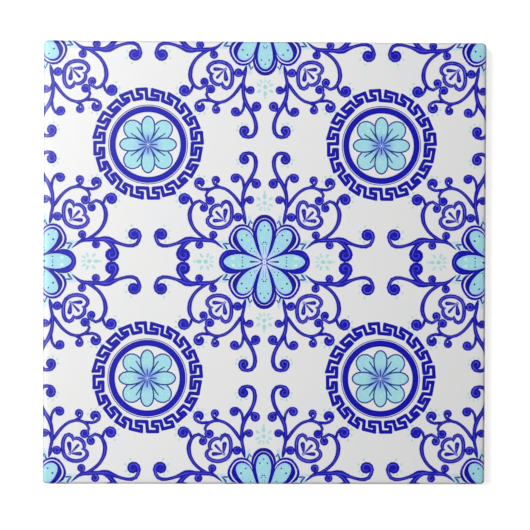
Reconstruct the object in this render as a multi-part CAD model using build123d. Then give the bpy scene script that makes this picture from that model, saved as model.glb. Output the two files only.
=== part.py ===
from build123d import *
import os

# Driving dimensions of the tile, in millimetres
face_size = 152.0            # square face, edge to edge
thickness = 6.5              # back ribs to patterned face
corner_radius = 1.5          # the four upright corners, seen from above
face_edge_radius = 1.2       # rounding of the edge all round the patterned face
back_edge_chamfer = 0.4      # small slope round the back, where the tile left its press

# Keyed back: a grid of shallow pockets between ribs, for the adhesive to grip
back_rim = 6.0               # flat rim between the pockets and the tile's edge
rib_width = 3.0              # flat ribs between two pockets
pocket_rows = 6              # pockets along each side of the tile
pocket_depth = 0.5
pocket_corner_radius = 1.5
pocket_draft = 25.0          # slope of the pocket walls, in degrees from upright

# The pockets share what the rim and the ribs leave of the back
pocket_field = face_size - 2 * back_rim
pocket_size = (pocket_field - (pocket_rows - 1) * rib_width) / pocket_rows
pocket_pitch = pocket_size + rib_width


def pressed_body():
    """Square slab with upright rounded corners, a rounded face edge and a sloped back edge."""
    with BuildPart() as body:
        with BuildSketch(Plane.XY):
            RectangleRounded(face_size, face_size, corner_radius)
        extrude(amount=thickness)
        fillet(body.faces().sort_by(Axis.Z)[-1].edges(), radius=face_edge_radius)
        chamfer(body.faces().sort_by(Axis.Z)[0].edges(), length=back_edge_chamfer)
    return body.part


def keying_pockets():
    """Grid of shallow pockets that narrow upwards into the back."""
    with BuildPart() as pockets:
        with BuildSketch(Plane.XY):
            with GridLocations(pocket_pitch, pocket_pitch, pocket_rows, pocket_rows):
                RectangleRounded(pocket_size, pocket_size, pocket_corner_radius)
        extrude(amount=pocket_depth, taper=pocket_draft)
    return pockets.part


tile = pressed_body() - keying_pockets()
tile.label = "tile"

os.makedirs("parts", exist_ok=True)
export_step(tile, "parts/tile.step")
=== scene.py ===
import cmath
import math

import bmesh
import bpy
from bpy.props import FloatProperty, FloatVectorProperty, IntProperty, PointerProperty
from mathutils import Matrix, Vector, kdtree
from mathutils.geometry import delaunay_2d_cdt


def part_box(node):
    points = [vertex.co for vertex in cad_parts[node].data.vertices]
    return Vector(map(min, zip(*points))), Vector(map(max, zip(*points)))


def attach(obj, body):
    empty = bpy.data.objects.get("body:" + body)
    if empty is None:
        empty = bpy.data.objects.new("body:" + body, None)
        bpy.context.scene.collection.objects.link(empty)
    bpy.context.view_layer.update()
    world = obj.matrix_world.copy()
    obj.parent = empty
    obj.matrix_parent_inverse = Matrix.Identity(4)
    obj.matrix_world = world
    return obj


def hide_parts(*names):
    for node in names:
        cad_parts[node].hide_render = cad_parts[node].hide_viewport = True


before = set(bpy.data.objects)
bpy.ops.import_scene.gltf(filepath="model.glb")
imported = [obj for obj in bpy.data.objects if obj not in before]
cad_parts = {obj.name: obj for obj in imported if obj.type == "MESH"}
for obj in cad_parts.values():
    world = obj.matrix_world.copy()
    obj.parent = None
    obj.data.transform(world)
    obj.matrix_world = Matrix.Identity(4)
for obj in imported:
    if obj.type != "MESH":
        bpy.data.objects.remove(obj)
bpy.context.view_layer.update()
tile_low, tile_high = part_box("tile")

bl_info = {
    "name": "Patterned Tile",
    "version": (1, 0, 0),
    "blender": (4, 5, 0),
    "location": "3D View > Sidebar > Tile",
    "description": "Builds a glazed wall tile with a painted decoration, and a plain studio for it",
    "category": "Add Mesh",
}

MM = 0.001
WHITE = (1, 1, 1, 1)


def linear(code):
    """Linear RGBA of an sRGB hex colour."""
    values = [int(code[i:i + 2], 16) / 255 for i in (1, 3, 5)]
    return tuple(v / 12.92 if v <= 0.04045 else ((v + 0.055) / 1.055) ** 2.4 for v in values) + (1.0,)


def number(name, description, value, **kind):
    """Property for a number, with its unit or subtype."""
    return FloatProperty(name=name, description=description, default=value, **kind)


def length(name, description, millimetres):
    """Property for a length, given in millimetres."""
    return number(name, description, millimetres * MM, unit="LENGTH", precision=5)


def vector(name, description, value, subtype):
    """Property for a place in metres or a turn in radians."""
    return FloatVectorProperty(name=name, description=description, default=value, subtype=subtype,
                               precision=5)


def colour(name, description, code):
    """Property for a colour, given as an sRGB hex value."""
    return FloatVectorProperty(name=name, description=description, default=linear(code), size=4,
                               subtype="COLOR", min=0.0, max=1.0)


class TileSizes(bpy.types.PropertyGroup):
    """Sizes of the pressed body; the face and the thickness come from the tile in model.glb."""
    face: number("Face", "Edge length of the square face", tile_high[0] - tile_low[0],
                 unit="LENGTH", precision=5)
    thickness: number("Thickness", "Back ribs to patterned face", tile_high[2] - tile_low[2],
                      unit="LENGTH", precision=5)
    corner_radius: length("Corner radius", "Radius of the four upright corners", 1.5)
    edge_radius: length("Face edge radius", "Rounding of the edge all round the face", 1.2)
    soft_edge: length("Soft edge", "Width over which the glaze falls away towards the rounding", 1.6)
    soft_drop: length("Soft drop", "How far the glaze has fallen where the rounding starts", 0.08)
    chamfer: length("Back chamfer", "Small slope round the back", 0.4)
    rim: length("Back rim", "Flat rim between the pockets and the tile's edge", 6.0)
    rib: length("Rib", "Width of the ribs between two pockets", 3.0)
    pocket_rows: IntProperty(name="Pocket rows", description="Pockets along each side", default=6, min=1)
    pocket_depth: length("Pocket depth", "Depth of the keying pockets", 0.5)
    pocket_corner: length("Pocket corner", "Corner radius of the pockets", 1.5)
    pocket_draft: number("Pocket draft", "Slope of the pocket walls from upright", math.radians(25.0),
                         subtype="ANGLE")


class DecorationSizes(bpy.types.PropertyGroup):
    """Layout of the decoration on the face."""
    repeat: length("Repeat", "Distance from one rosette to the next", 80.0)
    shift_x: length("Shift across", "The print's centre from the tile's centre, across", -0.18)
    shift_y: length("Shift up", "The print's centre from the tile's centre, up", 0.39)
    band_inner: length("Band inner radius", "Inner radius of the solid ring", 11.1)
    band_outer: length("Band outer radius", "Outer radius of the solid ring", 13.12)
    key_line: length("Key line", "Width of the key border's line", 1.22)
    key_wear: length("Key corners", "How far the key border's outer corners are cut off", 0.35)
    weight: number("Stroke weight", "Width of the scrolls as a share of their drawn width", 1.15,
                   subtype="FACTOR")
    bleed: length("Bleed", "How far the cobalt bleeds into the white glaze", 0.45)


class TileColours(bpy.types.PropertyGroup):
    """Colours of the glaze, the pigments under it and the clay."""
    glaze: colour("White glaze", "Tin white between the motifs", "#EEEDEC")
    glaze_cool: colour("Thin glaze", "Cooler white where the glaze is thin", "#EBECEE")
    # Painted shade of the rounded edge: this tone is multiplied into every glazed colour down the edge,
    # where the face turns from the light
    rim: colour("Glaze rim", "Tone that the thin glaze takes on along the rounded edge", "#C6C3BF")
    bleed: colour("Blue bleed", "White glaze that the cobalt has bled into", "#D9D7F9")
    cobalt_edge: colour("Cobalt edge", "Where the cobalt pooled along a stroke's edge", "#05026E")
    cobalt: colour("Cobalt", "Body of the cobalt strokes", "#0807BB")
    cobalt_thin: colour("Thin cobalt", "Where the brush left the cobalt thin", "#5E5CE3")
    lilac: colour("Lilac", "Bare crescents with a breath of cobalt", "#E2DEFE")
    heart: colour("Pale heart", "Pale blue at the feet of the rosette's petals", "#D2DFFE")
    wash: colour("Pale wash", "Thin aqua that the white shows through", "#BCE2F6")
    aqua: colour("Aqua", "Copper aqua of the petals", "#A8DFED")
    aqua_edge: colour("Aqua edge", "Bluer rim of the aqua next to the cobalt", "#A6CEFA")
    aqua_green: colour("Aqua green", "Greener clouds in the aqua", "#A8E5E6")
    sea_green: colour("Sea green", "Soft sprigs and dots", "#98DADA")
    pearl: colour("Pearl", "Pale spots on the petals", "#C9F3EC")
    slate: colour("Slate", "Thin outlines and dots", "#183C90")
    periwinkle: colour("Periwinkle", "Haze in the heart of the ring flowers", "#768DF3")
    clay: colour("Fired clay", "Unglazed body on the sides and the back", "#DCCDB6")
    clay_dark: colour("Clay grain", "Darker grain in the fired clay", "#C4B196")


class StudioSettings(bpy.types.PropertyGroup):
    """Floor, lamps and camera."""
    floor: colour("Floor", "Pale floor and backdrop", "#F2F2F2")
    floor_radius: length("Floor radius", "From the tile's middle to the backdrop's wall", 1200.0)
    wall_height: length("Wall height", "Height of the backdrop's wall", 300.0)
    floor_drop: length("Floor drop", "How far the floor lies under the tile's back", 0.05)
    glow_near: length("Glow near", "From the tile's middle to where the floor's glow starts to rise", 120.0)
    glow_far: length("Glow far", "From the tile's middle to where the floor glows in full", 350.0)
    glow_low: number("Low glow", "Share of the floor's glow close to the tile", 0.7, subtype="FACTOR")
    key_power: number("Key lamp", "Power of the soft lamp on the left", 5.9, unit="POWER")
    key_size: length("Key lamp size", "Edge length of the soft lamp", 500.0)
    key_place: vector("Key lamp place", "Where the soft lamp hangs", (-0.4, 0.16, 0.56), "TRANSLATION")
    fill_power: number("Fill lamp", "Power of the wide lamp opposite", 0.2, unit="POWER")
    fill_size: length("Fill lamp size", "Edge length of the wide lamp", 900.0)
    fill_place: vector("Fill lamp place", "Where the wide lamp hangs", (0.8, -0.6, 0.6), "TRANSLATION")
    room: number("Room light", "Strength of the even light of the room", 0.09, subtype="FACTOR")
    focal: number("Lens", "Focal length of the camera", 120.0, unit="CAMERA")
    camera_place: vector("Camera place", "Where the camera stands", (-0.01399, 0.00379, 0.61207),
                         "TRANSLATION")
    camera_turn: vector("Camera turn", "The camera's turn from straight down",
                        tuple(math.radians(a) for a in (-0.429, -1.323, 0.247)), "EULER")


# Pigments in painting order: a later one lies over an earlier one
GLAZE, TINT, WASH, COBALT, STREAK, LILAC, AQUA, SLATE, PEARL, CLAY = range(10)

# Pigments of one family count as one area when the distance to the area's edge is measured
FAMILY = {GLAZE: 0, TINT: 1, COBALT: 2, STREAK: 2, LILAC: 3, WASH: 4, AQUA: 4, SLATE: 4, PEARL: 4}

# Distances kept in the mesh: to the edge of the pigment's area, to the nearest cobalt and to the white
DISTANCES = ("pigment_depth", "cobalt_distance", "white_distance")

# Scrolls of one quarter, in millimetres from the rosette's centre: the stem as (x, y, half width), then the
# curl as eye, radius and angle where it starts, turns (negative is clockwise), radius of its end and half
# width, and how quickly it tightens
SCROLLS = (
    # Upright stem that ends in the curl below the top
    ([(6.5, 12.8, .2), (6.65, 14.2, .42), (6.95, 16, .44), (7.45, 18, .5), (7.55, 20, .56), (7.5, 22, .52),
      (7.15, 24, .6), (6.4, 26, .66), (5.35, 27.7, .6), (4.4, 29.3, .56), (3.6, 31, .56), (3.15, 32.6, .6),
      (3.05, 34.2, .64), (3.4, 35.8, .62), (4.35, 36.95, .58), (5.6, 37.25, .56)],
     ((7.0, 35.0), 1.95, 80, -1.1, 1.05, .56, 7)),
    # Two curls that leave the upright stem at its crown
    ([(7.0, 24.6, .4), (7.2, 26.2, .42), (7.45, 27.7, .4), (8.25, 29.05, .42), (9.3, 29.7, .46)],
     ((10.15, 28.6), 1.1, 80, -1.0, .95, .5, 1)),
    ([(6.2, 26, .45), (5.55, 27.1, .44), (4.6, 27.9, .44), (3.7, 28.05, .46)],
     ((2.95, 26.75), 1.2, 90, 1.1, 1.0, .5, 1)),
    # Small curls low on the upright stem
    ([(7.3, 19.4, .4), (6.9, 20.6, .45), (6.2, 21.55, .46)],
     ((5.0, 21.15), 1.0, 70, .9, .8, .44, 1)),
    ([(6.55, 13.2, .3), (7.0, 14.3, .36), (7.6, 15.5, .38), (8.4, 16.15, .4)],
     ((9.2, 15.25), 1.0, 95, -1.0, .95, .48, 1)),
    # Arch over the palmette, with a curl that leaves it
    ([(7.4, 18.2, .35), (8.3, 19.5, .5), (9.6, 21.4, .52), (10.9, 22.95, .46), (12.25, 24.15, .45),
      (13.8, 25.05, .45), (15.4, 25.5, .45), (17.0, 25.45, .45), (18.5, 24.85, .46), (19.6, 23.9, .45),
      (20.15, 22.7, .42)],
     ((18.6, 21.0), 1.35, 35, -1.0, .93, .44, 1.5)),
    ([(15.2, 25.5, .3), (16.4, 26.0, .5), (17.3, 26.7, .44)],
     ((16.7, 27.95), 1.1, -35, .85, .85, .42, 1)),
    # Curl from the arch towards the ring
    ([(18.6, 24.95, .35), (19.8, 24.8, .45), (21.2, 24.7, .45), (22.5, 25.1, .45)],
     ((22.2, 27.1), 1.75, -45, .85, 1.1, .5, 3)),
    # Large C scroll beside the palmette, with its offshoot
    ([(19.0, 7.45, .3), (20.6, 8.2, .5), (22.15, 9.25, .5), (23.65, 10.65, .5), (24.8, 12.4, .54),
      (25.5, 14.3, .62), (25.7, 16, .66), (25.4, 17.8, .62), (24.75, 19.15, .52), (23.7, 20.3, .5),
      (22.3, 20.8, .46)],
     ((20.85, 18.4), 1.8, 78, 1.0, .92, .44, 6)),
    ([(24.6, 18.9, .3), (24.95, 20.3, .44), (25.4, 21.5, .42), (26.2, 22.45, .44)],
     ((27.6, 21.35), 1.6, 100, -1.0, 1.15, .54, 2)),
    # Level stem that swells into a leaf and ends in the large curl
    ([(14.2, 4.5, .1), (15.2, 5.45, .28), (16.4, 6.45, .44), (18, 7.15, .54), (19.8, 7.4, .66),
      (21.6, 7.45, .64), (23.4, 7.5, .62), (25.2, 7.65, .82), (26.8, 7.4, .9), (28.4, 6.75, .7),
      (30, 6.2, .48), (31.6, 5.7, .46), (33.2, 5.35, .5), (34.8, 5.35, .56), (36.2, 5.95, .56)],
     ((35.2, 9.25), 2.7, -50, 1.2, 1.3, .54, 4.5)),
    # Heavy volute under the leaf
    ([(23.2, 7.7, .3), (25, 7.3, .5), (26.6, 6.45, .6), (27.9, 5.3, .75)],
     ((27.65, 2.3), 2.0, 48, -1.0, 1.25, .82, 3)),
    # Small curls under and over the level stem
    ([(20.8, 7.7, .3), (21.75, 7.0, .44)],
     ((22.3, 5.75), 1.0, 60, -.9, .85, .44, 1)),
    ([(17.0, 7.0, .3), (18.0, 7.85, .44)],
     ((17.55, 9.15), 1.0, -30, .95, .85, .44, 1)),
)

# Palmette between the arch and the large C: two outline strokes and three drops (head, radius, tail)
PALMETTE = (
    [(14.75, 18.3, .14), (14.75, 19.2, .44), (14.2, 20.2, .52), (13.3, 20.65, .54), (12.3, 20.3, .54),
     (11.6, 19.2, .54), (11.25, 17.5, .54), (11.25, 15.8, .54), (11.45, 14.4, .54), (12.1, 13.1, .54),
     (13.3, 12.15, .54), (14.7, 11.65, .54), (16.2, 11.55, .54), (17.7, 11.85, .54), (18.85, 12.55, .54),
     (19.55, 13.5, .54), (19.6, 14.4, .5), (19.1, 15.2, .46), (18.4, 15.7, .35), (17.5, 15.65, .14)],
    [(14.95, 19.0, .2), (15.7, 19.4, .46), (16.75, 19.25, .52), (17.7, 18.65, .54), (18.35, 17.85, .54),
     (18.6, 16.9, .5), (18.5, 16.0, .42)],
)
DROPS = (((13.4, 17.45), .78, (13.8, 14.5)), ((16.45, 16.95), .46, (14.2, 14.5)),
         ((17.2, 14.05), .66, (14.2, 14.15)))
PALMETTE_WEIGHT = 1.1

# Share of its width that a drop loses towards its tail, and how late it does so
DROP_TAPER, DROP_EASE = 0.68, 1.4

# Small ring where the drops meet: its centre, its radius and the half width of its line
ROOT_CENTRE, ROOT_RADIUS, ROOT_HALF = (13.62, 14.1), 0.36, 0.13

# Light line of the brush: its half width on a stem, a palmette and a drop, as a share of the stroke's
STEM_LIGHT, PALMETTE_LIGHT, DROP_LIGHT = 0.14, 0.3, 0.36

# In a curl it starts this wide, in millimetres, and has run out at this share of the curl
CURL_LIGHT, CURL_LIGHT_END = 0.2, 0.85

# There it starts this share of the half width off the middle, and moves inwards by this share
LIGHT_SHIFT, LIGHT_MOVE = 0.15, 0.6

# Ball in a curl's eye: the share of the stroke's half width where it meets the stroke, and its swell in mm
BALL_MEETS, BALL_SWELL = 0.9, 0.5

# Rosette: half outlines of the upright and the level petal, whole outlines of the slanting one
UPRIGHT_PETAL = [(0, 16.2), (1.2, 16.05), (2.4, 15.4), (3.3, 14.4), (3.9, 13.2), (4.2, 12), (4.25, 10.8),
                 (4.0, 9.4), (3.7, 8), (3.3, 6.6), (2.7, 5), (2.0, 3.3), (1.3, 2.1), (.65, 1.15), (0, .7)]
UPRIGHT_AQUA = [(0, 14), (.9, 13.75), (1.7, 13), (2.2, 11.9), (2.55, 10.6), (2.6, 9.4), (2.4, 7.8),
                (2.05, 6.2), (1.6, 4.4), (1.2, 3), (.7, 1.4), (0, .9)]
UPRIGHT_STREAK = [(0, 14.9, .1), (1.1, 14.7, .1), (2.1, 14, .1), (2.9, 12.9, .1), (3.4, 11.6, .08),
                  (3.5, 10.6, .04)]
LEVEL_PETAL = [(15.65, 0), (15.5, 1.1), (15.05, 2.1), (14.3, 3.1), (13.2, 3.85), (12, 4.15), (10.5, 4.15),
               (9, 3.9), (7.5, 3.6), (6, 3.1), (4, 2.2), (2, 1.3), (.6, .5), (.3, 0)]
LEVEL_AQUA = [(14, 0), (13.7, .75), (12.9, 1.5), (11.6, 2.15), (10, 2.55), (8.4, 2.6), (6.6, 2.4),
              (5, 1.95), (3.4, 1.35), (1.8, .75), (.8, 0)]
LEVEL_STREAK = [(13, 3, .04), (13.9, 2.25, .08), (14.5, 1.3, .09), (14.8, .5, .09), (14.85, 0, .09)]
SLANT_PETAL = [(4.25, 11.2), (5, 12), (6.2, 12.65), (7.5, 12.9), (8.8, 12.75), (10, 12.1), (11, 11),
               (11.8, 9.7), (12.3, 8.3), (12.4, 7.2), (12.15, 6.2), (11.6, 5.2), (10.7, 4.45), (9.5, 4),
               (8, 3.6), (5, 2.6), (2, 1.2), (.5, .5), (1.3, 2.1), (2.2, 4), (3.2, 6.6), (3.8, 8.6),
               (4.1, 10)]
SLANT_AQUA = [(.8, .8), (1.6, 2.4), (2.7, 4.6), (3.4, 6.8), (4, 8.5), (4.8, 9.8), (6, 10.7), (7, 11),
              (8, 10.9), (8.9, 10.4), (9.4, 9.6), (9.5, 8.8), (9.35, 8), (8.5, 6.1), (7, 4.3), (5, 2.8),
              (3, 1.9)]
CRESCENT = [(3.95, 8.9, .05), (4.2, 9.8, .18), (4.8, 10.7, .24), (5.7, 11.4, .25), (6.8, 11.85, .22),
            (8, 11.9, .2), (9.1, 11.5, .2), (10, 10.75, .2), (10.7, 9.7, .22), (11.15, 8.6, .26),
            (11.25, 7.6, .28), (11, 6.6, .27), (10.4, 5.6, .25), (9.5, 4.6, .22), (8.7, 3.95, .15),
            (8.1, 3.5, .04)]

# Small dark dots on the petals (x, y, radius), and thin lines with a soft slit towards their feet
PETAL_DOTS = ((0, 12.3, .28), (1.3, 10.9, .28), (.35, 6.7, .26), (.75, 6.05, .22), (6.1, 9.1, .3),
              (7.75, 7.45, .36), (4.45, 4.6, .25), (4.9, 3.7, .22), (3.4, 3.5, .2), (7.55, 1.55, .28),
              (7.55, .4, .22))
PETAL_LINES = ([(.42, 2.4, .04), (.42, 5.4, .07)], [(2.4, 2.7, .05), (2.85, 3.15, .05)],
               [(1.6, 0, .06), (3.0, 0, .2), (4.4, 0, .34), (5.0, 0, .26)])

# Tabs between the petals: a thin line and the corners of the pale patch inside it
TABS = (([(4.25, 13.1, .28), (4.95, 14.1, .26), (5.3, 13, .28), (5.6, 12.3, .28)],
         [(3.8, 9.6), (4.3, 13.15), (4.95, 14.05), (5.6, 12.3)]),
        ([(12.2, 6.1, .28), (14.2, 6.15, .26), (13.4, 5.3, .28), (12.7, 4.2, .28)],
         [(9.6, 3.9), (12.7, 4.2), (14.15, 6.15), (12.2, 6.1)]))

# Soft glow round the tabs (x, y, half width, half height)
TAB_GLOW = ((5.1, 14.6, 1.0, 2.2), (5.9, 13.0, 1.2, 1.5), (14.3, 6.7, 2.5, 1.0), (13.7, 5.0, 1.5, 1.6))

# Soft sprig over a petal, from the sprig's heart: (reach, angle in degrees, half length, half width)
SPRIG_HEART = 20.1
SPRIG = ((0, 90, 1.1, 1.0), (2.25, 90, 1.2, .92), (3.75, 90, .75, .65), (2.54, 36, 1.1, .74),
         (2.25, -18, 1.15, .68), (2.35, -54, 1.15, .62), (2.05, -90, 1.0, .58))

# Pale dots round the larger curls: their radius, and where they lie (x, y)
CURL_DOT = 0.7
CURL_DOTS = ((34.4, 12.2), (32.6, 10.5), (32.8, 8.1), (34.1, 6.8), (9.6, 34.9), (9.2, 33.6), (7.8, 32.6),
             (6.2, 33.0), (19.8, 27.6), (20.8, 29.2), (22.6, 29.5), (24.1, 28.5), (30.2, 20.6),
             (30.2, 22.5), (29, 23.8), (29, 18.8))

# Key border, given point by point, clockwise from the left, from the ring's centre: in every unit the line
# goes in to the
# # ring, along it, back out to the middle, back along the middle and out again
KEY = (
    (-18.15, .6), (-15.1, .6), (-15.05, 3.7), (-16.45, 3.75), (-16.5, 2.4), (-18.4, 2.4),
    (-17.3, 6.15), (-14.65, 5.25), (-13.15, 8.2), (-14.25, 8.6), (-15.2, 7.4), (-16.85, 7.95),
    (-15.15, 10.9), (-12.45, 9.4), (-9.8, 12.15), (-10.6, 12.8), (-12.15, 11.4), (-13.55, 12.45),
    (-10.75, 15.1), (-8.85, 13.3), (-6.6, 14.9), (-6.9, 15.8), (-8.45, 15.15), (-9.35, 16.6),
    (-5.85, 18.0), (-4.85, 15.3), (-2.2, 15.85), (-2.3, 17.0), (-3.55, 17.2), (-3.85, 18.75),
    (-.75, 18.95), (-.5, 15.6), (3.3, 15.3), (3.4, 16.65), (1.3, 16.9), (1.5, 18.7),
    (5.3, 17.6), (4.85, 14.95), (7.8, 13.8), (8.1, 14.85), (6.8, 15.8), (7.2, 17.25),
    (10.65, 15.15), (9.25, 12.8), (11.15, 10.85), (12.0, 11.5), (11.35, 12.9), (12.35, 13.85),
    (14.6, 10.7), (12.15, 9.15), (13.95, 6.85), (14.95, 7.3), (14.4, 8.8), (15.8, 9.4),
    (17.3, 5.9), (14.7, 5.3), (15.1, 1.95), (16.4, 2.1), (16.45, 4.1), (18.25, 4.15),
    (18.5, .65), (15.2, .55), (14.95, -3.4), (16.2, -3.35), (16.45, -1.1), (18.15, -1.2),
    (17.4, -5.35), (14.75, -5.05), (13.3, -7.9), (14.6, -8.35), (15.3, -6.95), (16.75, -7.15),
    (14.75, -10.85), (12.4, -9.4), (10.45, -11.6), (11.2, -12.5), (12.5, -11.6), (13.2, -12.3),
    (10.4, -14.75), (8.75, -12.6), (6.15, -14.1), (6.75, -15.3), (8.45, -14.9), (9.0, -16.5),
    (5.4, -17.4), (4.7, -14.7), (1.9, -15.0), (1.9, -16.45), (3.55, -16.5), (3.6, -18.3),
    (.2, -18.3), (-.1, -14.95), (-3.65, -14.8), (-3.6, -16.35), (-1.9, -16.5), (-1.95, -18.25),
    (-5.75, -17.35), (-5.45, -14.55), (-7.8, -13.55), (-8.35, -14.45), (-7.35, -15.35), (-7.85, -16.65),
    (-10.65, -14.85), (-9.05, -12.45), (-11.2, -10.05), (-12.35, -10.6), (-11.15, -12.25), (-12.2, -13.35),
    (-14.5, -10.4), (-12.7, -8.75), (-14.15, -6.1), (-15.2, -6.35), (-14.6, -8.2), (-16.1, -8.9),
    (-17.3, -4.85), (-15.1, -4.4), (-15.2, -1.4), (-16.4, -1.4), (-16.5, -3.2), (-18.1, -3.3),
)

# Middle radius of the key border, and how far out from it the marks lie that fence it in
KEY_MIDDLE, KEY_REACH = 16.9, 2.75

# Thin lines round the solid ring (pigment, radius, half width): a line, with lilac between it and the ring
RING_LINES = ((LILAC, 13.24, .12), (SLATE, 13.49, .13))

# Ring flower, from the ring's centre: half of a petal on an axis, half of a lobe between two, and the veins
AXIS_PETAL = [(.9, .5), (2.05, 1.15), (3.05, 1.62), (4.05, 2.0), (5.5, 2.22), (7, 2.2), (8.3, 1.85),
              (9.2, 1.15), (9.58, .5), (9.65, 0)]
LOBE = [(6.8, 2.45), (7.75, 3.45), (8.27, 4.7), (8.25, 6.1), (7.5, 7.5)]
VEINS = ([(.7, .45, .12), (3.2, 2.05, .25), (5.9, 3.85, .18)], [(.5, 0, .14), (1.6, 0, .2), (3.2, 0, .18)])

# Half widths of the lines round a lobe and a petal; the petal's narrows towards the ring's centre
LOBE_LINE, PETAL_LINE, PETAL_TAPER = 0.23, 0.24, 0.055

# Dots in the flower's heart (pigment, radius)
RING_HEART = ((AQUA, .6), (PEARL, .26))


def through(points, step=1.15, closed=False):
    """Smooth line through points (x, y, half width), sampled about every step millimetres."""
    knots = [(complex(p[0], p[1]), p[2] if len(p) > 2 else 0.0) for p in points]
    count = len(knots)
    line = []
    for i in range(count if closed else count - 1):
        if closed:
            near = [knots[(i + k) % count] for k in (-1, 0, 1, 2)]
        else:
            near = [knots[min(max(i + k, 0), count - 1)] for k in (-1, 0, 1, 2)]
        (a, _), (b, start), (c, end), (d, _) = near
        steps = max(1, round(abs(c - b) / step))
        for s in range(steps):
            t = s / steps
            bend = (2 * a - 5 * b + 4 * c - d) * t ** 2 + (3 * b - a - 3 * c + d) * t ** 3
            line.append((0.5 * (2 * b + (c - a) * t + bend), start + (end - start) * t))
    if not closed:
        line.append(knots[-1])
    return line


def outline_of(points, closed=False):
    """Smooth outline through points, without widths."""
    return [z for z, _ in through(points, closed=closed)]


def winding(eye, radius, angle, turns, ball, half_width, ease, per_turn=10):
    """Points of a curl that comes in at a radius and an angle and winds round a ball."""
    steps = max(3, math.ceil(abs(turns) * per_turn))
    points = []
    for i in range(steps + 1):
        t = i / steps
        reach = ball + (radius - ball) * (1 - t) ** ease
        z = complex(*eye) + cmath.rect(reach, math.radians(angle + 360 * turns * t))
        points.append((z.real, z.imag, half_width))
    return points


def sides_of(line, closed):
    """Unit vectors to the left of a line of (point, half width)."""
    points = [z for z, _ in line]
    count = len(points)
    sides = []
    for i in range(count):
        if closed:
            along = points[(i + 1) % count] - points[i - 1]
        else:
            along = points[min(i + 1, count - 1)] - points[max(i - 1, 0)]
        sides.append(along * 1j / abs(along))
    return sides


class Motif:
    """Flat shapes in millimetres, each a pigment and a simple outline; a lone point only marks a place."""

    def __init__(self, bleed):
        self.shapes = []
        self.bleed = bleed

    def patch(self, pigment, outline):
        """One filled outline."""
        self.shapes.append((pigment, outline))

    def strip(self, pigments, rows, closed=False):
        """Triangles between rows of points, with a pigment for each column."""
        for near, far in zip(rows, rows[1:] + rows[:1] if closed else rows[1:]):
            for k, pigment in enumerate(pigments):
                self.patch(pigment, [near[k], far[k], far[k + 1]])
                self.patch(pigment, [near[k], far[k + 1], near[k + 1]])

    def stroke(self, pigment, line, closed=False):
        """Stroke along a line."""
        sides = sides_of(line, closed)
        self.strip([pigment], [(z - s * half, z + s * half) for (z, half), s in zip(line, sides)], closed)

    def brush(self, line, light, closed=False):
        """Cobalt stroke with a light line, (shift, half width) a point, and marks where it bleeds to."""
        rows, sides = [], sides_of(line, closed)
        for (z, half), side, (shift, thin) in zip(line, sides, light):
            rows.append([z + side * reach for reach in (-half, shift - thin, shift + thin, half)])
            self.mark(z, side * (half + self.bleed))
        self.strip([COBALT, STREAK, COBALT], rows, closed)
        if not closed:
            for (z, half), out in ((line[0], sides[0] * 1j), (line[-1], sides[-1] * -1j)):
                self.patch(GLAZE, [z + out * self.bleed])
                self.mark(z + out * self.bleed, out * 1j * half)

    def mark(self, z, reach):
        """Marks both sides of a point."""
        self.patch(GLAZE, [z + reach])
        self.patch(GLAZE, [z - reach])

    def area(self, pigment, outline, reach, clear):
        """Filled outline with marks on both sides of it, except near the centre, where it is narrow."""
        self.patch(pigment, outline)
        for z, side in zip(outline, sides_of([(z, 0) for z in outline], True)):
            if abs(z) > clear:
                self.mark(z, side * reach)

    def spot(self, pigment, centre, across, up=None, turn=0.0, sides=10, soft=False):
        """Round or oval spot; a soft one has an inner outline for its fade."""
        up = across if up is None else up
        swing = cmath.rect(1, math.radians(turn))
        rim = [cmath.rect(1, 2 * math.pi * k / sides) for k in range(sides)]
        oval = [complex(across * z.real, up * z.imag) for z in rim]
        for share in (1.0, 0.5) if soft else (1.0,):
            self.patch(pigment, [centre + z * share * swing for z in oval])

    def copies(self, changes):
        """The same shapes once for each change, a function of a complex point."""
        return [(pigment, [change(z) for z in outline])
                for change in changes for pigment, outline in self.shapes]


def swapped(z):
    """The point mirrored in the diagonal."""
    return complex(z.imag, z.real)


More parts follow.
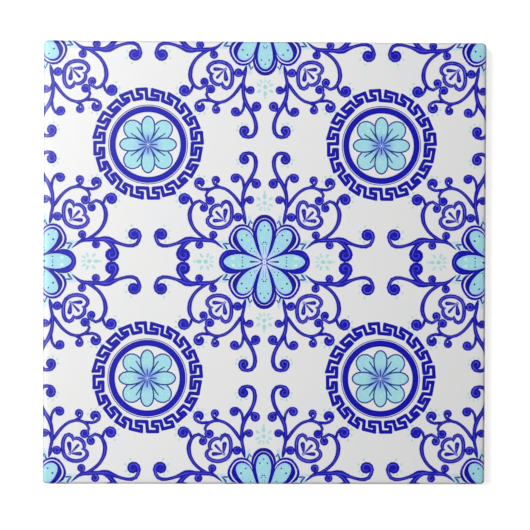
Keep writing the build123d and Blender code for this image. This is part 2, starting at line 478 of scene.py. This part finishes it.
def scroll_quarter(sizes):
    """Scrolls, palmette and soft dots of the upper right quarter."""
    motif = Motif(sizes.bleed / MM)
    for stem, curl in SCROLLS:
        eye, turns = complex(*curl[0]), curl[3]
        stem_line, curl_line = through(stem + winding(*curl)[:1])[:-1], through(winding(*curl))
        line = [(z, half * sizes.weight) for z, half in stem_line + curl_line]
        # Ball in the curl's eye, which meets the inner edge of its last turn
        last_turn = line[-math.ceil(len(curl_line) / max(1, abs(turns))):]
        meets = [abs(z - eye) - half * BALL_MEETS for z, half in last_turn]
        limit = meets[-1] + BALL_SWELL
        ball = [eye + (z - eye) / abs(z - eye) * min(reach, limit)
                for (z, _), reach in zip(last_turn, meets)]
        motif.strip([COBALT], [(z, eye) for z in ball], closed=True)
        # The light line moves to the inside of the curl and runs out there
        light = [(0, half * STEM_LIGHT) for _, half in line[:len(stem_line)]]
        for k, (_, half) in enumerate(line[len(stem_line):]):
            share = k / len(curl_line)
            shift = math.copysign(half * (LIGHT_SHIFT + LIGHT_MOVE * share), turns)
            light.append((shift, CURL_LIGHT * max(0, 1 - share / CURL_LIGHT_END) ** 0.5))
        light[0] = light[1] = light[-1] = (0, 0)
        motif.brush(line, light)
    for outline in PALMETTE:
        line = [(z, half * sizes.weight * PALMETTE_WEIGHT) for z, half in through(outline)]
        motif.brush(line, [(0, half * PALMETTE_LIGHT) for _, half in line])
    for head, radius, tail in DROPS:
        head, tail = complex(*head), complex(*tail)
        shares = [k / 6 for k in range(7)]
        motif.spot(COBALT, head, radius, sides=12)
        line = [(head + (tail - head) * t, radius * (1 - DROP_TAPER * t ** DROP_EASE)) for t in shares]
        motif.brush(line, [(0, half * DROP_LIGHT * (k % 2)) for k, (_, half) in enumerate(line)])
    root = complex(*ROOT_CENTRE)
    ring = [(root + cmath.rect(ROOT_RADIUS, k * math.pi / 5), ROOT_HALF) for k in range(10)]
    motif.stroke(COBALT, ring, closed=True)
    for x, y in CURL_DOTS:
        motif.spot(TINT, complex(x, y), CURL_DOT, soft=True, sides=8)
    for reach, angle, half_length, half_width in SPRIG:
        leaf = Motif(motif.bleed)
        heart = complex(0, SPRIG_HEART) + cmath.rect(reach, math.radians(angle))
        leaf.spot(TINT, heart, half_length, half_width, angle, sides=8, soft=True)
        motif.shapes += leaf.copies([lambda z: z, swapped])
    return motif


def rosette_quarter(bleed):
    """Upper right quarter of the eight-petalled rosette."""
    motif = Motif(bleed)
    for petal, closed in ((UPRIGHT_PETAL, False), (LEVEL_PETAL, False), (SLANT_PETAL, True)):
        motif.area(COBALT, outline_of(petal, closed), reach=bleed, clear=5.0)
    for petal, closed in ((UPRIGHT_AQUA, False), (LEVEL_AQUA, False), (SLANT_AQUA, True)):
        motif.area(AQUA, outline_of(petal, closed), reach=0.5, clear=4.0)
    for pigment, line in ((LILAC, UPRIGHT_STREAK), (STREAK, LEVEL_STREAK), (LILAC, CRESCENT)):
        motif.stroke(pigment, through(line))
    for x, y, radius in PETAL_DOTS:
        motif.spot(SLATE, complex(x, y), radius, sides=10)
    for line in PETAL_LINES:
        motif.stroke(SLATE, through(line))
    # Pale spot on the level petal, and the dots in the rosette's heart
    motif.spot(PEARL, complex(10.7, 1.2), 0.6)
    motif.spot(LILAC, 0, 0.75)
    motif.spot(SLATE, 0, 0.18, sides=8)
    for line, fill in TABS:
        motif.stroke(SLATE, through(line))
        motif.patch(WASH, [complex(*p) for p in fill])
    for x, y, across, up in TAB_GLOW:
        motif.spot(WASH, complex(x, y), across, up, soft=True)
    return motif


def ring_medallion(sizes):
    """Solid ring, its flower and the key border round it, from the ring's centre."""
    motif = Motif(sizes.bleed / MM)
    inner, outer = sizes.band_inner / MM, sizes.band_outer / MM
    steps = 120
    around = [cmath.rect(1, 2 * math.pi * k / steps) for k in range(steps)]
    band = [(z * (inner + outer) / 2, (outer - inner) / 2) for z in around]
    motif.brush(band, [(0, 0)] * steps, closed=True)
    for pigment, radius, half in RING_LINES:
        motif.stroke(pigment, [(z * radius, half) for z in around], closed=True)
    for z in around:
        motif.mark(z * KEY_MIDDLE, z * KEY_REACH)

    # Key border as one line with mitred corners, cut off a little on the outside of each turn
    corners = [complex(*p) for p in KEY]
    half, wear, rows = sizes.key_line / MM / 2, sizes.key_wear / MM, []
    for before, at, after in zip(corners[-1:] + corners, corners, corners[1:] + corners[:1]):
        into, onward = (at - before) / abs(at - before), (after - at) / abs(after - at)
        mitre = (into + onward) * 1j
        mitre *= 2 / abs(mitre) ** 2
        left, right = at + mitre * half, at - mitre * half
        if (into.conjugate() * onward).imag > 0:
            rows += [(right - into * wear, at, left), (right + onward * wear, at, left)]
        else:
            rows += [(right, at, left - into * wear), (right, at, left + onward * wear)]
        motif.mark(at, mitre * (half + motif.bleed))
        motif.mark((at + after) / 2, onward * 1j * (half + motif.bleed))
    motif.strip([COBALT, COBALT], rows, closed=True)

    # Flower of four petals over four lobes
    quarter = Motif(motif.bleed)
    lobe = outline_of(LOBE)
    lobe += [swapped(z) for z in reversed(lobe[:-1])]
    quarter.area(AQUA, [0] + lobe, reach=0.6, clear=5.0)
    quarter.stroke(SLATE, [(z, LOBE_LINE) for z in lobe])
    petal = outline_of(AXIS_PETAL)
    petal += [z.conjugate() for z in reversed(petal[:-1])]
    quarter.area(AQUA, petal, reach=0.6, clear=4.0)
    quarter.stroke(SLATE, [(z, min(PETAL_LINE, PETAL_TAPER * abs(z))) for z in petal])
    for vein in VEINS:
        line = through(vein)
        quarter.stroke(SLATE, line)
        quarter.stroke(SLATE, [(swapped(z), half_width) for z, half_width in line])
    motif.shapes += quarter.copies([lambda z, turn=1j ** k: z * turn for k in range(4)])
    for pigment, radius in RING_HEART:
        motif.spot(pigment, 0, radius)
    return motif


def lay_out(sizes, half_face):
    """Every shape of the decoration that reaches the face, in millimetres from the tile's centre."""
    repeat = sizes.repeat / MM
    shift = complex(sizes.shift_x, sizes.shift_y) / MM
    mirrors = (1, 1), (-1, 1), (1, -1), (-1, -1)
    changes = [lambda z, at=complex(i, j) * repeat + shift, m=m: complex(z.real * m[0], z.imag * m[1]) + at
               for i in (-1, 0, 1) for j in (-1, 0, 1) for m in mirrors]
    rings = [lambda z, at=complex(i, j) * repeat + shift: z + at for i in (-.5, .5) for j in (-.5, .5)]
    shapes = scroll_quarter(sizes).copies(changes) + rosette_quarter(sizes.bleed / MM).copies(changes)
    shapes += ring_medallion(sizes).copies(rings)
    return [(pigment, outline) for pigment, outline in shapes
            if min(abs(z.real) for z in outline) < half_face
            and min(abs(z.imag) for z in outline) < half_face]


def rounded_square(half, radius, segments=8, steps=50):
    """Outline of a square with rounded corners, counter-clockwise, with its straight sides in steps."""
    straight, outline = half - radius, []
    for corner in range(4):
        arc = [cmath.rect(radius, k / segments * math.pi / 2) for k in range(segments + 1)]
        quarter = [complex(straight, straight) + z for z in arc]
        quarter += [complex(straight * (1 - 2 * k / steps), half) for k in range(1, steps)]
        outline += [z * 1j ** corner for z in quarter]
    return outline


def cut_face(shapes, sizes):
    """Cuts the face along every outline of the decoration.

    No bmesh operator cuts overlapping outlines into one flat face, so the triangulation that Blender has
    for that does it. Returns points in millimetres, triangles and their pigments.
    """
    half = sizes.face / MM / 2
    corner, edge = sizes.corner_radius / MM, sizes.edge_radius / MM
    points, index, faces, pigments = [], {}, [], []
    only_inside, tolerance, least_area = 1, 1e-4, 1e-3

    def add(pigment, outline):
        face = []
        for z in outline:
            key = (round(z.real, 2), round(z.imag, 2))
            if key not in index:
                index[key] = len(points)
                points.append(Vector(key))
            if index[key] not in face:
                face.append(index[key])
        area = sum(points[a].cross(points[b]) for a, b in zip(face, face[1:] + face[:1]))
        if len(face) > 2 and abs(area) > least_area:
            faces.append(face if area > 0 else face[::-1])
            pigments.append(pigment)

    # Outlines at the steps of the rounded edge, the outermost first, and of the soft edge inside it
    insets = [edge * (1 - math.sin(math.radians(angle))) for angle in (90, 72, 54, 36, 18, 0)]
    insets += [edge + sizes.soft_edge / MM * share for share in (0.5, 1.0)]
    for inset in insets:
        add(GLAZE, rounded_square(half - inset, max(0, corner - inset)))
    for pigment, outline in shapes:
        add(pigment, outline)
    cut = delaunay_2d_cdt(points, [], faces, only_inside, tolerance, True)
    flat, _, triangles, _, _, owners = cut
    # The first outline is the tile's own, and of the pigments at a place the last one painted shows
    kept = [(triangle, max(pigments[k] for k in owner))
            for triangle, owner in zip(triangles, owners) if 0 in owner]
    return flat, [triangle for triangle, _ in kept], [pigment for _, pigment in kept]


def edge_distance(x, y, half, corner):
    """How far a point lies inside the tile's outline, and the way out from there."""
    across, up = abs(x) - (half - corner), abs(y) - (half - corner)
    if across > 0 and up > 0:
        reach = math.hypot(across, up)
        out = Vector((math.copysign(across / reach, x), math.copysign(up / reach, y), 0))
        return corner - reach, out
    if across > up:
        return corner - across, Vector((math.copysign(1, x), 0, 0))
    return corner - up, Vector((0, math.copysign(1, y), 0))


def edge_profile(inside, sizes):
    """How far the face has dropped this far inside the outline, and how far its normal leans outwards."""
    edge, soft = sizes.edge_radius, sizes.soft_drop
    fall = max(0.0, 1 - max(0.0, inside - edge) / sizes.soft_edge)
    turn = min(1.0, max(0.0, 1 - inside / edge))
    drop = soft * fall ** 2 + (edge - soft) * (1 - math.sqrt(1 - turn ** 2))
    return drop, max(turn, 2 * soft / sizes.soft_edge * fall)


def add_node(tree, kind, settings=None):
    """Adds a node; a setting is a property, a value for an input, or an output to link to that input."""
    node = tree.nodes.new("ShaderNode" + kind)
    for key, value in (settings or {}).items():
        if isinstance(value, bpy.types.NodeSocket):
            tree.links.new(value, node.inputs[key])
        elif hasattr(node, str(key)):
            setattr(node, key, value)
        else:
            node.inputs[key].default_value = value
    return node.outputs


class Finish:
    """Material in the making: its nodes, the colours that it mixes and the place on the object."""

    def __init__(self, name, ink=None):
        self.material = bpy.data.materials.new(name)
        self.material.use_nodes = True
        self.material.node_tree.nodes.clear()
        self.ink = ink
        self.place = self.add("TexCoord")["Object"]

    def add(self, kind, settings=None):
        """Adds a node to the material."""
        return add_node(self.material.node_tree, kind, settings)

    def distance(self, name):
        """One of the distances that are kept in the mesh."""
        return self.add("Attribute", {"attribute_name": name})["Fac"]

    def height(self):
        """Height over the tile's back."""
        return self.add("SeparateXYZ", {0: self.place})[2]

    def noise(self, size, detail):
        """Noise with features about this many millimetres across."""
        return self.add("TexNoise", {"Scale": per_mm(size), "Detail": detail, "Vector": self.place})[0]

    def ramp(self, value, low, high, start=0.0, end=1.0, kind="LINEAR"):
        """Number that goes from start to end while the value goes from low to high."""
        return self.add("MapRange", {"interpolation_type": kind, "From Min": low, "From Max": high,
                                     "To Min": start, "To Max": end, "Value": value})[0]

    def cloud(self, size, detail, low, high):
        """Soft clouds of a size in millimetres, from 0 to 1 between two levels of the noise."""
        return self.ramp(self.noise(size, detail), low, high)

    def within(self, distance, reach, start=0.0):
        """0 up to the start away from an edge, 1 from the reach, both in millimetres."""
        return self.ramp(distance, start * MM, reach * MM, kind="SMOOTHSTEP")

    def blend(self, factor, first, second, mode="MIX"):
        """Mix of two colours, each a colour or the output of another node."""
        return self.add("Mix", {"data_type": "RGBA", "blend_type": mode, 0: factor, 6: first, 7: second})[2]

    def mottled(self, first, second, size, detail, low, high):
        """A colour with clouds of a second one."""
        return self.blend(self.cloud(size, detail, low, high), first, second)

    def bump(self, height, strength, millimetres):
        """Normals of a surface that is rough by this many millimetres."""
        return self.add("Bump", {"Strength": strength, "Distance": millimetres * MM, "Height": height})[0]

    def surface(self, base, roughness, normal):
        """Ends the material with its one shader."""
        shader = self.add("BsdfPrincipled", {"IOR": 1.5, "Base Color": base, "Roughness": roughness,
                                             "Normal": normal})
        self.add("OutputMaterial", {"Surface": shader[0]})
        return self.material

    def under_glaze(self, base):
        """Clear glossy glaze over a colour: fired glass with long shallow waves, with painted shade down the
        rounded edge.
        """
        # Painted shade: from just under the face down the rounded edge the colour is multiplied by the rim
        # tone, for the shade where the edge turns from the light
        start, full, strength = tile_high[2] - 0.12 * MM, tile_high[2] - 0.5 * MM, 0.8
        thin = self.ramp(self.height(), start, full, end=strength)
        base = self.blend(thin, base, self.ink.rim, "MULTIPLY")
        return self.surface(base, 0.3, self.bump(self.noise(11, 1.0), 1.0, 0.02))


def per_mm(size):
    """Texture scale whose features are about this many millimetres across."""
    return 1 / (size * MM)


def white_glaze(ink, sizes):
    """Tin-white glaze: opaque white, a little cooler where it lies thin, tinged along the cobalt."""
    finish = Finish("tin_white_glaze", ink)
    white = finish.mottled(ink.glaze, ink.glaze_cool, 9, 3, 0.35, 0.7)
    clear = finish.within(finish.distance("cobalt_distance"), sizes.bleed / MM)
    return finish.under_glaze(finish.blend(clear, ink.bleed, white))


def soft_tint(ink):
    """Sea-green dab in the glaze that fades out to the white round it."""
    finish = Finish("sea_green_underglaze", ink)
    dab = finish.mottled(ink.sea_green, ink.wash, 5, 2, 0.45, 0.8)
    inner = finish.within(finish.distance("white_distance"), 0.6)
    return finish.under_glaze(finish.blend(inner, ink.glaze, dab))


def pale_wash(ink):
    """Aqua wash laid so thin that the white shows through it, and that runs out into the white."""
    finish = Finish("pale_aqua_underglaze", ink)
    body = finish.mottled(ink.wash, ink.aqua_edge, 3, 2, 0.45, 0.9)
    inner = finish.within(finish.distance("white_distance"), 1.1)
    return finish.under_glaze(finish.blend(inner, ink.glaze, body))


def cobalt_stroke(ink):
    """Cobalt under the glaze: pooled dark just inside the stroke's edges, a little mottled by the brush."""
    finish = Finish("cobalt_underglaze", ink)
    depth = finish.distance("pigment_depth")
    body = finish.mottled(ink.cobalt, ink.cobalt_edge, 2.5, 3, 0.5, 1.5)
    edge = finish.blend(finish.within(depth, 0.2), ink.cobalt, ink.cobalt_edge)
    return finish.under_glaze(finish.blend(finish.within(depth, 0.48, 0.22), edge, body))


def thin_cobalt(ink):
    """Cobalt that the brush left thin: a light line that comes and goes along a stroke."""
    finish = Finish("thin_cobalt_underglaze", ink)
    return finish.under_glaze(finish.mottled(ink.cobalt_thin, ink.cobalt, 3, 2, 0.45, 0.75))


def lilac_reserve(ink):
    """Bare crescent left in the cobalt: white glaze with a breath of blue."""
    finish = Finish("lilac_reserve", ink)
    return finish.under_glaze(finish.mottled(ink.lilac, ink.cobalt_thin, 2, 2, 0.5, 1.8))


def heart_distance(finish, sizes, heart):
    """Distance from the nearest heart of a motif, given as its place in the quarter of a repeat."""
    half = (sizes.repeat / 2, sizes.repeat / 2, 1)
    point = finish.place
    for operation, operands in (("SUBTRACT", {1: (sizes.shift_x, sizes.shift_y, 0)}),
                                ("WRAP", {1: half, 2: [-v for v in half]}),
                                ("ABSOLUTE", {}),
                                ("MULTIPLY", {1: (1, 1, 0)})):
        point = finish.add("VectorMath", {"operation": operation, 0: point} | operands)[0]
    return finish.add("VectorMath", {"operation": "DISTANCE", 0: point, 1: heart})["Value"]


def aqua_wash(ink, sizes):
    """Copper aqua under the glaze: bluer along the cobalt, greener in clouds, pale or hazy in a heart."""
    finish = Finish("copper_aqua_underglaze", ink)
    body = finish.mottled(ink.aqua, ink.aqua_green, 2.6, 3, 0.38, 0.72)
    body = finish.blend(finish.within(finish.distance("pigment_depth"), 1.0), ink.aqua_edge, body)
    specks = finish.add("TexVoronoi", {"Scale": per_mm(1.4), "Vector": finish.place})["Distance"]
    body = finish.blend(finish.ramp(specks, 0.1, 0.3, start=0.1), ink.pearl, body)
    half = sizes.repeat / 2
    for heart, reach, tone in (((0, 0, 0), 6.5, ink.heart), ((half, half, 0), 5.6, ink.periwinkle)):
        body = finish.blend(finish.within(heart_distance(finish, sizes, heart), reach), tone, body)
    return finish.under_glaze(body)


def slate_line(ink):
    """Thin drawn line of cobalt and iron, a little uneven in strength."""
    finish = Finish("slate_line_underglaze", ink)
    return finish.under_glaze(finish.mottled(ink.slate, ink.periwinkle, 1.5, 2, 0.6, 1.4))


def pearl_spot(ink):
    """Pale spot of thick glaze over the aqua."""
    finish = Finish("pearl_white_glaze", ink)
    return finish.under_glaze(finish.mottled(ink.pearl, ink.glaze, 1, 1, 0.4, 1.0))


def fired_clay(ink, sizes):
    """Bisque clay: matt and finely grained; the glaze has run a little way down the sides over it."""
    finish = Finish("fired_clay", ink)
    grain = finish.cloud(0.5, 4, 0.4, 0.7)
    clay = finish.blend(grain, ink.clay, ink.clay_dark)
    run = {"operation": "MULTIPLY_ADD", 0: finish.noise(7, 3.0), 1: 3.0 * MM, 2: finish.height()}
    top = sizes.thickness - sizes.edge_radius
    glazed = finish.ramp(finish.add("Math", run)[0], top, top + 0.25 * MM, kind="SMOOTHSTEP")
    roughness = finish.ramp(glazed, 0.0, 1.0, start=0.85, end=0.2)
    return finish.surface(finish.blend(glazed, clay, ink.glaze), roughness, finish.bump(grain, 0.6, 0.05))


class TILE_OT_tile(bpy.types.Operator):
    """Builds the pressed and glazed tile with its decoration"""
    bl_idname = "tile.build_tile"
    bl_label = "Build tile"

    def execute(self, context):
        sizes, decoration = context.scene.tile_sizes, context.scene.tile_decoration
        ink = context.scene.tile_colours
        bm = bmesh.new()
        layers = [bm.verts.layers.float.new(name) for name in DISTANCES]
        mouths = self.pockets(bm, sizes)
        self.face(bm, sizes, decoration, layers)
        self.sides_and_back(bm, sizes, mouths)
        mesh = bpy.data.meshes.new("glazed_tile")
        bm.to_mesh(mesh)
        bm.free()
        tile = bpy.data.objects.new("glazed_tile", mesh)
        context.scene.collection.objects.link(tile)
        for material in (white_glaze(ink, decoration), soft_tint(ink), pale_wash(ink), cobalt_stroke(ink),
                         thin_cobalt(ink), lilac_reserve(ink), aqua_wash(ink, decoration), slate_line(ink),
                         pearl_spot(ink), fired_clay(ink, sizes)):
            mesh.materials.append(material)
        self.shading(mesh, sizes)
        self.bake_map(mesh, sizes)
        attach(tile, "root")
        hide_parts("tile")
        return {"FINISHED"}

    def pockets(self, bm, sizes):
        """Keying pockets of the back; returns the edges of their mouths."""
        rows = sizes.pocket_rows
        pocket = (sizes.face - 2 * sizes.rim - (rows - 1) * sizes.rib) / rows
        slope = sizes.pocket_depth * math.tan(sizes.pocket_draft)
        for place in range(rows * rows):
            across, up = ((k - (rows - 1) / 2) * (pocket + sizes.rib) for k in divmod(place, rows))
            square = bmesh.ops.create_grid(bm, x_segments=1, y_segments=1, size=pocket / 2)["verts"]
            bmesh.ops.translate(bm, verts=square, vec=(across, up, 0))
            corners = bmesh.ops.bevel(bm, geom=square, offset=sizes.pocket_corner, affect="VERTICES",
                                      segments=4, profile=0.5, material=-1)["verts"]
            floor = corners[0].link_faces[0]
            bmesh.ops.inset_region(bm, faces=[floor], use_boundary=True, use_even_offset=True,
                                   thickness=slope, depth=sizes.pocket_depth)
        for face in bm.faces:
            face.material_index = CLAY
        return [edge for edge in bm.edges if edge.is_boundary]

    def face(self, bm, sizes, decoration, layers):
        """The cut face, lowered along its rounded edge, with the distances that its colours fade by."""
        half = sizes.face / 2
        flat, triangles, pigments = cut_face(lay_out(decoration, half / MM), sizes)
        verts = {}
        for k in sorted({k for triangle in triangles for k in triangle}):
            x, y = flat[k] * MM
            inside, _ = edge_distance(x, y, half, sizes.corner_radius)
            drop, _ = edge_profile(inside, sizes)
            verts[k] = bm.verts.new((x, y, sizes.thickness - drop))
        for triangle, pigment in zip(triangles, pigments):
            bm.faces.new([verts[k] for k in triangle]).material_index = pigment
        families = {k: {FAMILY[face.material_index] for face in vert.link_faces}
                    for k, vert in verts.items()}
        borders = {k: met for k, met in families.items() if len(met) > 1}
        cobalt = [k for k, met in borders.items() if FAMILY[COBALT] in met]
        white = [k for k, met in borders.items() if FAMILY[GLAZE] in met]
        for layer, points in zip(layers, (borders, cobalt, white)):
            tree = kdtree.KDTree(len(points))
            for k in points:
                tree.insert(verts[k].co, k)
            tree.balance()
            for vert in verts.values():
                vert[layer] = tree.find(vert.co)[2]

    def sides_and_back(self, bm, sizes, mouths):
        """Sides and sloped back edge drawn down from the face, and the back filled in round the pockets."""
        half = sizes.face / 2
        edges = [edge for edge in bm.edges if edge.is_boundary and edge.verts[0].co.z > sizes.chamfer]
        for height, inset in ((sizes.chamfer, 0.0), (0.0, sizes.chamfer)):
            drawn = bmesh.ops.extrude_edge_only(bm, edges=edges)["geom"]
            for vert in [item for item in drawn if isinstance(item, bmesh.types.BMVert)]:
                _, out = edge_distance(vert.co.x, vert.co.y, half, sizes.corner_radius)
                vert.co -= out * inset
                vert.co.z = height
            edges = [item for item in drawn if isinstance(item, bmesh.types.BMEdge)]
        bmesh.ops.triangle_fill(bm, use_beauty=True, edges=edges + mouths, normal=(0, 0, -1))
        bmesh.ops.recalc_face_normals(bm, faces=bm.faces)
        # A hair under the foot of the rounding, where the glaze ends
        foot = sizes.thickness - 1.001 * sizes.edge_radius
        for face in bm.faces:
            heights = [vert.co.z for vert in face.verts]
            if min(heights) < foot:
                face.material_index = CLAY
            face.smooth = max(heights) > 2 * sizes.chamfer

    def shading(self, mesh, sizes):
        """Exact normals for the flat of the face and for its rounded edge."""
        half, normals = sizes.face / 2, []
        for polygon in mesh.polygons:
            for k in polygon.vertices:
                x, y, _ = mesh.vertices[k].co
                inside, out = edge_distance(x, y, half, sizes.corner_radius)
                _, lean = edge_profile(inside, sizes)
                if polygon.material_index == CLAY:
                    normals.append(out if polygon.use_smooth else Vector((0, 0, 0)))
                else:
                    normals.append(out * lean + Vector((0, 0, math.sqrt(1 - lean * lean))))
        mesh.normals_split_custom_set(normals)

    def bake_map(self, mesh, sizes):
        """Map that gives the decorated face most of the picture, and strips to the sides and the back."""
        layer = mesh.uv_layers.new(name="OFBake")
        share, gap, strip = 0.86, 0.01, 0.055
        for polygon in mesh.polygons:
            for loop in polygon.loop_indices:
                x, y, z = mesh.vertices[mesh.loops[loop].vertex_index].co
                u, v, w = x / sizes.face + 0.5, y / sizes.face + 0.5, z / sizes.thickness
                normal = polygon.normal
                if polygon.material_index != CLAY:
                    layer.data[loop].uv = u * share, v * share
                elif polygon.use_smooth and abs(normal.x) > abs(normal.y):
                    side = share + gap + (normal.x > 0) * (strip + gap)
                    layer.data[loop].uv = side + w * strip, v * share
                elif polygon.use_smooth:
                    side = share + gap + (normal.y > 0) * (strip + gap)
                    layer.data[loop].uv = u * share, side + w * strip
                else:
                    rest = 1 - share - 2 * gap
                    layer.data[loop].uv = share + gap + u * rest, share + gap + v * rest


class TILE_OT_studio(bpy.types.Operator):
    """Sets up the floor, the lamps, the room light and the camera"""
    bl_idname = "tile.build_studio"
    bl_label = "Build studio"

    def execute(self, context):
        scene, studio = context.scene, context.scene.tile_studio
        scene.view_settings.view_transform = "Standard"
        self.floor(scene, studio)
        self.room(scene, studio)
        self.lamp(scene, "key_lamp", studio.key_place, studio.key_size, studio.key_power)
        self.lamp(scene, "fill_lamp", studio.fill_place, studio.fill_size, studio.fill_power)
        self.camera(scene, studio)
        return {"FINISHED"}

    def floor(self, scene, studio):
        """Pale floor with a round backdrop, white to the eye, that keeps the tile's shadow."""
        bm = bmesh.new()
        bmesh.ops.create_circle(bm, cap_ends=True, radius=studio.floor_radius, segments=64)
        rim = bmesh.ops.extrude_edge_only(bm, edges=list(bm.edges))["geom"]
        wall = [item for item in rim if isinstance(item, bmesh.types.BMVert)]
        bmesh.ops.translate(bm, verts=wall, vec=(0, 0, studio.wall_height))
        # A hair under the tile, so that the floor and the back aren't in one plane
        bmesh.ops.translate(bm, verts=bm.verts, vec=(0, 0, -studio.floor_drop))
        mesh = bpy.data.meshes.new("floor")
        bm.to_mesh(mesh)
        bm.free()
        mesh.materials.append(self.pale_floor(studio))
        floor = bpy.data.objects.new("floor", mesh)
        scene.collection.objects.link(floor)

    def pale_floor(self, studio):
        """Matt pale floor that looks white; its glow is weaker close to the tile, where the shadow falls."""
        finish = Finish("pale_floor")
        reach = finish.add("VectorMath", {"operation": "LENGTH", 0: finish.place})["Value"]
        level = finish.ramp(reach, studio.glow_near, studio.glow_far, start=studio.glow_low)
        # Only the camera, reflections and clear glass see the glow, so it throws no light on the tile
        path = finish.add("LightPath")
        seen = path["Is Camera Ray"]
        for other in ("Is Glossy Ray", "Is Transmission Ray"):
            seen = finish.add("Math", {"operation": "MAXIMUM", 0: seen, 1: path[other]})[0]
        strength = finish.add("Math", {"operation": "MULTIPLY", 0: seen, 1: level})[0]
        glow = finish.add("Emission", {"Color": WHITE, "Strength": strength})[0]
        matt = finish.add("BsdfDiffuse", {"Color": studio.floor})[0]
        both = finish.add("AddShader", {0: matt, 1: glow})[0]
        finish.add("OutputMaterial", {"Surface": both})
        return finish.material

    def room(self, scene, studio):
        """Even, dim light of the room."""
        world = bpy.data.worlds.new("room")
        world.use_nodes = True
        world.node_tree.nodes.clear()
        light = add_node(world.node_tree, "Background", {"Color": WHITE, "Strength": studio.room})[0]
        add_node(world.node_tree, "OutputWorld", {"Surface": light})
        scene.world = world

    def lamp(self, scene, name, place, size, power):
        """Square soft lamp that points at the tile."""
        light = bpy.data.lights.new(name, "AREA")
        light.size = size
        light.energy = power
        lamp = bpy.data.objects.new(name, light)
        lamp.location = place
        lamp.rotation_euler = Vector(place).to_track_quat("Z", "Y").to_euler()
        scene.collection.objects.link(lamp)

    def camera(self, scene, studio):
        """Camera over the tile, a little off its middle."""
        lens = bpy.data.cameras.new("camera")
        lens.lens = studio.focal
        camera = bpy.data.objects.new("camera", lens)
        camera.location = studio.camera_place
        camera.rotation_euler = studio.camera_turn
        scene.collection.objects.link(camera)
        scene.camera = camera


class TILE_PT_panel(bpy.types.Panel):
    """Settings and buttons of the tile"""
    bl_idname = "TILE_PT_panel"
    bl_label = "Patterned Tile"
    bl_space_type = "VIEW_3D"
    bl_region_type = "UI"
    bl_category = "Tile"

    def draw(self, context):
        scene = context.scene
        body = (scene.tile_sizes, scene.tile_decoration, scene.tile_colours)
        for operator, groups in ((TILE_OT_tile, body), (TILE_OT_studio, (scene.tile_studio,))):
            box = self.layout.box()
            for group in groups:
                for name in group.__annotations__:
                    box.prop(group, name)
            box.operator(operator.bl_idname)


SETTINGS = {"tile_sizes": TileSizes, "tile_decoration": DecorationSizes, "tile_colours": TileColours,
            "tile_studio": StudioSettings}
CLASSES = (*SETTINGS.values(), TILE_OT_tile, TILE_OT_studio, TILE_PT_panel)


def register():
    for cls in CLASSES:
        bpy.utils.register_class(cls)
    for name, group in SETTINGS.items():
        setattr(bpy.types.Scene, name, PointerProperty(type=group))


def unregister():
    for name in SETTINGS:
        delattr(bpy.types.Scene, name)
    for cls in reversed(CLASSES):
        bpy.utils.unregister_class(cls)


def main():
    """Builds the tile and its studio."""
    register()
    bpy.ops.tile.build_tile()
    bpy.ops.tile.build_studio()


if __name__ == "__main__":
    main()
